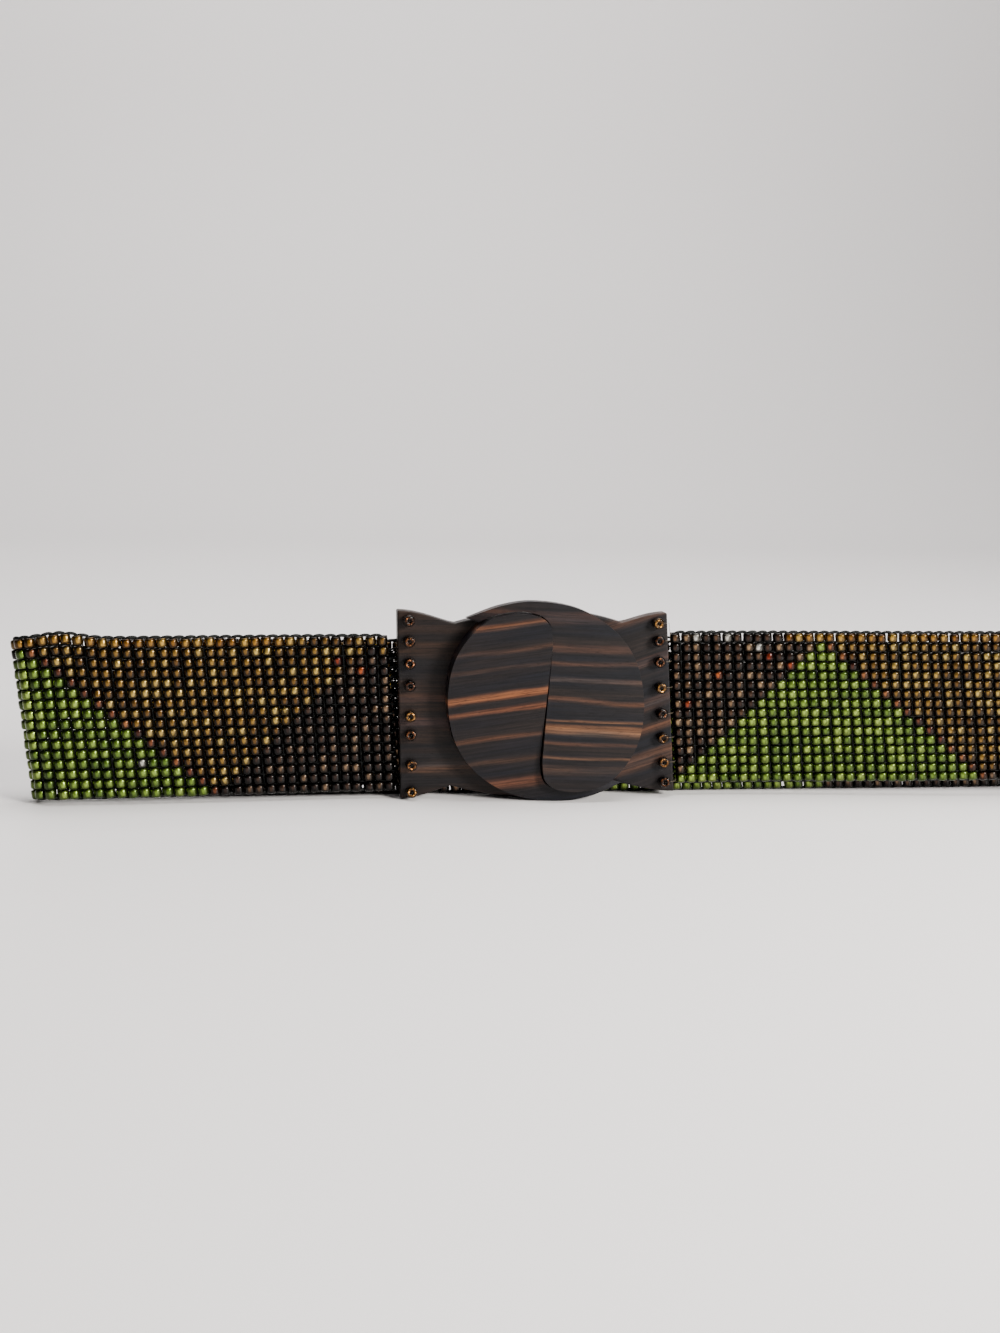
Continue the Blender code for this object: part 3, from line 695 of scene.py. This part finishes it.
EBONY = {"low": -0.035, "high": 0.035, "color": (0.0048, 0.0048, 0.0062)}
BROWN_EBONY = {"low": -0.035, "high": 0.035, "color": (0.0105, 0.0080, 0.0068)}
BROWN = (0.070, 0.044, 0.034)
TAN = (0.17, 0.105, 0.065)
ORANGE_TAN = (0.25, 0.125, 0.065)
plate_looks = {
    "left": {"ground": BROWN_EBONY, "tilt": math.radians(0.5), "wander": 0.0050, "seed": 3.0,
             "stripes": [{"z": 0.021, "half": 0.0018, "color": (0.009, 0.009, 0.011)},
                         {"z": 0.010, "half": 0.0018, "color": (0.009, 0.009, 0.012)},
                         {"z": 0.001, "half": 0.0014, "color": BROWN},
                         {"z": -0.0065, "half": 0.0019, "color": (0.115, 0.060, 0.042)},
                         {"z": -0.013, "half": 0.0014, "color": (0.009, 0.009, 0.011)},
                         {"z": -0.0205, "half": 0.0016, "color": (0.10, 0.066, 0.046)}]},
    "right": {"ground": EBONY, "tilt": math.radians(18.0), "wander": 0.0050, "seed": 8.0,
              "stripes": [{"z": 0.0165, "half": 0.0024, "color": BROWN},
                          {"z": 0.0015, "half": 0.0022, "color": (0.105, 0.060, 0.042)},
                          {"z": -0.0115, "half": 0.0022, "color": (0.085, 0.052, 0.038)},
                          {"z": -0.0200, "half": 0.0020, "color": BROWN},
                          {"z": -0.0290, "half": 0.0032, "color": (0.11, 0.067, 0.046)}]},
}
for side in ("left", "right"):
    plate = carved_slab(side + "_wooden_plate", plate_outline(side), PLATE_THICKNESS)
    round_edges(plate, PLATE_EDGE, 3)
    drills = []
    for x, z in stud_places(side):
        drill_mesh = bpy.data.meshes.new("drill")
        bm = bmesh.new()
        placed = Matrix.Translation((x, PLATE_THICKNESS / 2, z)) @ Matrix.Rotation(math.pi / 2, 4, "X")
        bmesh.ops.create_cone(bm, cap_ends=True, segments=HOLE_SIDES, radius1=HOLE_RADIUS,
                              radius2=HOLE_RADIUS, depth=PLATE_THICKNESS * 2, matrix=placed)
        bm.to_mesh(drill_mesh)
        bm.free()
        drill = bpy.data.objects.new("drill", drill_mesh)
        bpy.context.scene.collection.objects.link(drill)
        drills.append(drill)
        cut = plate.modifiers.new("drilled", "BOOLEAN")
        cut.operation = "DIFFERENCE"
        cut.solver = "EXACT"
        cut.object = drill
    finish_modifiers(plate)
    for drill in drills:
        bpy.data.objects.remove(drill, do_unlink=True)
    plate.location = BUCKLE_MIDDLE
    plate.data.materials.clear()
    plate.data.materials.append(striped_wood(side + "_plate_wood", **plate_looks[side]))
    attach(plate, "root")
    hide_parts(side + "_plate")


# Buckle heads
# Two thick comma-shaped pieces of the same wood, one the other turned half round, glued on the plates.
# Their faces tilt opposite ways, and each keeps a tail that passes round the top or the foot of the other.
HEAD_RADIUS = 0.0315
HEAD_THICKNESS = 0.006
HEAD_TILT = math.radians(3.0)
HEAD_EDGE = 0.0008
HEAD_GAP = 0.0004
HEAD_OFFSET_X = 0.0016
HEAD_OFFSET_Z = 0.0008
DIVIDER_SLOPE = 0.07
TAIL_TAPER_LENGTH = 0.012
TAIL_TIP_DROP = 0.002
TAIL_CUTS = 6
HEAD_EDGE_POINTS = (
    {"name": "divider_low", "x": -0.050, "z": -0.600},
    {"name": "foot_corner", "x": 0.002, "z": -0.800},
    {"name": "foot_inner", "x": 0.150, "z": -0.894},
    {"name": "foot", "x": 0.400, "z": -0.904},
    {"name": "foot_outer", "x": 0.690, "z": -0.800},
    {"name": "rim_low", "x": 0.935, "z": -0.475},
    {"name": "rim_side", "x": 1.012, "z": -0.060},
    {"name": "rim_high", "x": 0.930, "z": 0.390},
    {"name": "shoulder", "x": 0.700, "z": 0.722},
    {"name": "crown", "x": 0.330, "z": 0.950},
    {"name": "apex", "x": -0.120, "z": 1.027},
    {"name": "tail", "x": -0.480, "z": 0.982},
    {"name": "tail_tip", "x": -0.830, "z": 0.850},
)
EDGE_STEPS = 8
TAIL_INNER_ROWS = 5


def smooth_path(points, steps):
    """Smooth curve through the points, with the end points kept."""
    padded = [points[0]] + list(points) + [points[-1]]
    path = []
    for index in range(len(points) - 1):
        a, b, c, d = (Vector(point) for point in padded[index:index + 4])
        for step in range(steps):
            t = step / steps
            path.append(0.5 * (2 * b + (c - a) * t + (2 * a - 5 * b + 4 * c - d) * t * t
                               + (3 * b - a - 3 * c + d) * t * t * t))
    path.append(Vector(points[-1]))
    return path


def moved_right(path, distance):
    moved = []
    for index, point in enumerate(path):
        along = (path[min(index + 1, len(path) - 1)] - path[max(index - 1, 0)]).normalized()
        moved.append(point + Vector((along.y, -along.x)) * distance)
    return moved


def head_outline():
    """The head's own edge, then the other head's edge turned round and moved off by the gap."""
    shape = [(HEAD_RADIUS * row["x"], HEAD_RADIUS * row["z"]) for row in HEAD_EDGE_POINTS]
    low_z = shape[0][1]
    shape[0] = (HEAD_GAP / 2 + DIVIDER_SLOPE * low_z, low_z)
    own_edge = [Vector((HEAD_GAP / 2, 0.0))] + smooth_path(shape, EDGE_STEPS)
    last = 1 + (TAIL_INNER_ROWS - 1) * EDGE_STEPS
    facing = [-point for point in moved_right(own_edge, HEAD_GAP)[1:last + 1]]
    return [tuple(point) for point in own_edge + list(reversed(facing))]


def head_front(x, z):
    """Thickness of the head at a place: it tilts, and its tail thins towards the tip."""
    full = HEAD_THICKNESS - math.tan(HEAD_TILT) * z
    tip_x = HEAD_RADIUS * HEAD_EDGE_POINTS[-1]["x"]
    share = max(0.0, (tip_x + TAIL_TAPER_LENGTH - x) / TAIL_TAPER_LENGTH)
    return full - TAIL_TIP_DROP * share * share


head_looks = {
    "right": {"tilt": math.radians(-2.5), "wander": 0.0034, "seed": 5.0,
              "stripes": [{"z": 0.0275, "half": 0.0020, "color": (0.085, 0.052, 0.040)},
                          {"z": 0.0180, "half": 0.0016, "color": BROWN},
                          {"z": 0.0130, "half": 0.0010, "color": BROWN},
                          {"z": 0.0075, "half": 0.0010, "color": (0.12, 0.078, 0.056)},
                          {"z": 0.0010, "half": 0.0011, "color": (0.085, 0.052, 0.038)},
                          {"z": -0.0055, "half": 0.0006, "color": TAN},
                          {"z": -0.0083, "half": 0.0019, "color": (0.22, 0.135, 0.078)},
                          {"z": -0.0125, "half": 0.0007, "color": BROWN},
                          {"z": -0.0172, "half": 0.0007, "color": (0.10, 0.068, 0.048)},
                          {"z": -0.0215, "half": 0.0018, "color": (0.060, 0.042, 0.032)}]},
    "left": {"tilt": math.radians(8.0), "wander": 0.0034, "seed": 11.0,
             "stripes": [{"z": 0.0265, "half": 0.0012, "color": (0.13, 0.070, 0.042)},
                         {"z": 0.0185, "half": 0.0010, "color": (0.050, 0.034, 0.028)},
                         {"z": 0.0130, "half": 0.0008, "color": (0.046, 0.034, 0.030)},
                         {"z": 0.0045, "half": 0.0015, "color": ORANGE_TAN},
                         {"z": -0.0002, "half": 0.0011, "color": (0.15, 0.074, 0.044)},
                         {"z": -0.0092, "half": 0.0010, "color": BROWN},
                         {"z": -0.0170, "half": 0.0010, "color": (0.045, 0.032, 0.026)},
                         {"z": -0.0245, "half": 0.0022, "color": (0.095, 0.052, 0.038)}]},
}
for side, turn in (("right", 0.0), ("left", math.pi)):
    head = carved_slab(side + "_wooden_head", head_outline(), HEAD_THICKNESS)
    bm = bmesh.new()
    bm.from_mesh(head.data)
    bmesh.ops.translate(bm, verts=bm.verts, vec=(0, -HEAD_THICKNESS, 0))
    for cut in range(1, TAIL_CUTS + 1):
        cut_x = HEAD_RADIUS * HEAD_EDGE_POINTS[-1]["x"] + TAIL_TAPER_LENGTH * cut / TAIL_CUTS
        bmesh.ops.bisect_plane(bm, geom=bm.verts[:] + bm.edges[:] + bm.faces[:], dist=0.000001,
                               plane_co=(cut_x, 0, 0), plane_no=(1, 0, 0))
    for vertex in bm.verts:
        if vertex.co.y < -HEAD_THICKNESS / 2:
            vertex.co.y = -head_front(vertex.co.x, vertex.co.z)
    bm.transform(Matrix.Rotation(turn, 4, "Y"))
    bm.to_mesh(head.data)
    bm.free()
    round_edges(head, HEAD_EDGE, 4)
    finish_modifiers(head)
    head.location = BUCKLE_MIDDLE + Vector((HEAD_OFFSET_X, -SEAT_GAP, HEAD_OFFSET_Z))
    head.data.materials.clear()
    head.data.materials.append(striped_wood(side + "_head_wood", ground=EBONY, **head_looks[side]))
    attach(head, "root")
    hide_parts(side + "_head")


# Hidden peg
# One plain wooden peg sits in a bore across the seam and holds the two halves of the buckle in line.
PEG_STRIPES = [{"z": 0.0, "half": 0.004, "color": TAN}]
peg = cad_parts["hook_peg"]
peg.data.materials.clear()
peg.data.materials.append(
    striped_wood("peg_wood", PEG_STRIPES, tilt=0.0, wander=0.004, seed=2.0, ground=EBONY))


# Stud beads
# One amber glass bead sits on the front of the wing over each lacing hole, its own hole facing the viewer
# and the lacing thread passing through it.
STUD_RADIUS = 0.00185
STUD_LENGTH = 0.0026
STUD_NOD = 0.07
STUD_TONES = ((0.030, 0.010, 0.005), (0.10, 0.034, 0.010), (0.34, 0.16, 0.035))
# The stud beads take the same painted highlight down the middle and painted shade on the flanks.
stud_finish = glass_bead_material("amber_glass", STUD_TONES, PAINTED_FLANK_SHADE["amber"])
stud_shader = stud_finish.node_tree.nodes["Principled BSDF"]
facets = stud_finish.node_tree.nodes.new("ShaderNodeTexVoronoi")
facets.inputs["Scale"].default_value = 900.0
facet_bump = stud_finish.node_tree.nodes.new("ShaderNodeBump")
facet_bump.inputs["Strength"].default_value = 0.8
facet_bump.inputs["Distance"].default_value = 0.0006
stud_place = stud_finish.node_tree.nodes.new("ShaderNodeTexCoord")
stud_finish.node_tree.links.new(stud_place.outputs["Object"], facets.inputs["Vector"])
stud_finish.node_tree.links.new(facets.outputs["Distance"], facet_bump.inputs["Height"])
stud_finish.node_tree.links.new(facet_bump.outputs["Normal"], stud_shader.inputs["Normal"])
stud_points = []
stud_nodes = []
for side in ("left", "right"):
    for number, (x, z) in enumerate(stud_places(side), start=1):
        stud_points.append((x, -SEAT_GAP - STUD_LENGTH / 2, z))
        stud_nodes.append(f"{side}_stud_bead_{number}")
stud_places_all = np.array(stud_points) + np.array(BUCKLE_MIDDLE)
scale = np.array([STUD_RADIUS / BEAD_RADIUS, STUD_RADIUS / BEAD_RADIUS, STUD_LENGTH / BEAD_LENGTH])
stud_turns = []
for number in range(len(stud_points)):
    nod = Matrix.Rotation(math.pi / 2 + chance.normal(0, STUD_NOD), 3, "X")
    roll = Matrix.Rotation(chance.normal(0, STUD_NOD), 3, "Y")
    stud_turns.append(np.array(nod @ roll) * scale[None, :])
studs = joined_copies("stud_beads", seed_bead, stud_places_all, np.array(stud_turns),
                      chance.uniform(0, 1, len(stud_points)))
studs.data.materials.append(stud_finish)
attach(studs, "root")
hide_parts(*stud_nodes)


# Lacing
# Dark thread comes through each stud bead and hole, runs along the back of the wing and crosses its outer
# edge to the end column of the band.
LACE_RADIUS = 0.00036
LACE_BACK = PLATE_THICKNESS + 0.0007
for side in ("left", "right"):
    direction = 1 if side == "right" else -1
    end_column = 0.0 if side == "right" else float(BAND_COLUMNS)
    places = stud_places(side)
    paths = []
    buckle = np.array(BUCKLE_MIDDLE)
    for x, z in places:
        path = np.array([(x, -STUD_LENGTH - SEAT_GAP + 0.0003, z), (x, PLATE_THICKNESS / 2, z),
                         (x, LACE_BACK, z)]) + buckle
        paths.append((path, np.tile((0.0, 0.0, 1.0), (3, 1))))
    upright = [(x + direction * 0.0004, LACE_BACK + 0.0002, z) for x, z in places]
    path = np.array(upright) + buckle
    paths.append((path, np.tile((0.0, 1.0, 0.0), (len(path), 1))))
    edge_x = WING_REACH[side]
    for line in range(BAND_ROWS + 1):
        end = band_points(end_column, float(line) * 0.94 + 0.5)
        z = end[2] - BUCKLE_MIDDLE.z
        near = min(places, key=lambda spot: abs(spot[1] - z))
        x_edge = direction * edge_x - WING_SLOPE[side] * z
        points = [(near[0], LACE_BACK, near[1]),
                  (x_edge - direction * 0.0016, LACE_BACK + 0.0001, z * 0.75 + near[1] * 0.25),
                  (x_edge + direction * 0.0004, LACE_BACK - 0.0006, z)]
        path = np.vstack([np.array(points) + buckle, end + np.array([0.0, 0.0003, 0.0])])
        paths.append((path, np.tile((0.0, 0.0, 1.0), (len(path), 1))))
    lacing = thread_mesh(side + "_lacing_threads", paths, LACE_RADIUS)
    lacing.data.materials.append(dark_thread)
    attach(lacing, "root")
    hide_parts(side + "_lacing")


# Pale threads
# Thin pale nylon holds the right wing's stud beads: it leaves each bead, crosses the wing's outer edge and
# ends in the band's first column at about the same height.
PALE_RADIUS = 0.00008
pale_paths = []
for x, z in stud_places("right"):
    x_edge = WING_REACH["right"] - WING_SLOPE["right"] * z
    foot = BAND_RISE * RISE_SHARES["right"]["wing"]
    level = BAND_ROWS * (1 - (z + BUCKLE_MIDDLE.z - foot) / BAND_HEIGHT)
    end = band_points(0.0, min(BAND_ROWS - 0.5, max(0.5, level)))
    points = [(x + STUD_RADIUS * 0.8, -SEAT_GAP - STUD_LENGTH * 0.3, z), (x_edge + 0.0004, -0.0002, z)]
    path = np.vstack([np.array(points) + np.array(BUCKLE_MIDDLE), end + np.array([0.0, -0.0010, 0.0])])
    pale_paths.append((path, np.tile((0.0, 0.0, 1.0), (len(path), 1))))
pale_threads = thread_mesh("pale_threads", pale_paths, PALE_RADIUS)
pale_threads.data.materials.append(
    thread_material("pale_nylon", (0.07, 0.055, 0.04), (0.16, 0.13, 0.10), 2500.0))
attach(pale_threads, "root")


# Floor and light
# A plain pale surface that sweeps up behind the belt, a bright soft light in front and to the right, a
# wide one overhead, and one behind that lights the backdrop alone.
def area_light(name, place, aim, size, power, color):
    data = bpy.data.lights.new(name, "AREA")
    data.shape = "RECTANGLE"
    data.size, data.size_y = size
    data.energy = power
    data.color = color
    light = bpy.data.objects.new(name, data)
    bpy.context.scene.collection.objects.link(light)
    light.location = place
    light.rotation_euler = (Vector(aim) - Vector(place)).to_track_quat("-Z", "Y").to_euler()


floor_mesh = bpy.data.meshes.new("pale_floor")
FLOOR_REACH = 2.5
WALL_PLACE = 1.5
SWEEP_RADIUS = 0.5
SWEEP_STEPS = 12
profile = [(-FLOOR_REACH, 0.0)]
for step in range(SWEEP_STEPS + 1):
    angle = math.pi / 2 * step / SWEEP_STEPS
    profile.append((WALL_PLACE - SWEEP_RADIUS + SWEEP_RADIUS * math.sin(angle),
                    SWEEP_RADIUS * (1 - math.cos(angle))))
profile.append((WALL_PLACE, FLOOR_REACH))
points = [(x, y, z) for y, z in profile for x in (-FLOOR_REACH, FLOOR_REACH)]
faces = [(2 * row, 2 * row + 1, 2 * row + 3, 2 * row + 2) for row in range(len(profile) - 1)]
floor_mesh.from_pydata(points, [], faces)
floor_mesh.shade_smooth()
floor = bpy.data.objects.new("pale_floor", floor_mesh)
bpy.context.scene.collection.objects.link(floor)
floor_paint = bpy.data.materials.new("pale_paint")
floor_paint.use_nodes = True
floor_shader = floor_paint.node_tree.nodes["Principled BSDF"]
floor_shader.inputs["Base Color"].default_value = (0.83, 0.805, 0.805, 1.0)
floor_shader.inputs["Roughness"].default_value = 0.5
floor_mesh.materials.append(floor_paint)

area_light("key_light", (0.60, -0.64, 0.36), (0.0, 0.0, 0.03), (0.28, 0.28), 21.0, (1.0, 0.97, 0.92))
area_light("overhead_light", (0.1, 0.05, 1.1), (0.0, 0.0, 0.0), (0.7, 0.7), 18.0, (1.0, 0.98, 0.96))
area_light("wall_light", (0.0, 0.75, 1.3), (0.0, 1.5, 0.45), (1.8, 0.5), 14.0, (1.0, 0.99, 0.98))
world = bpy.data.worlds.new("studio")
world.use_nodes = True
world.node_tree.nodes["Background"].inputs["Color"].default_value = (0.80, 0.80, 0.82, 1.0)
world.node_tree.nodes["Background"].inputs["Strength"].default_value = 0.14
bpy.context.scene.world = world
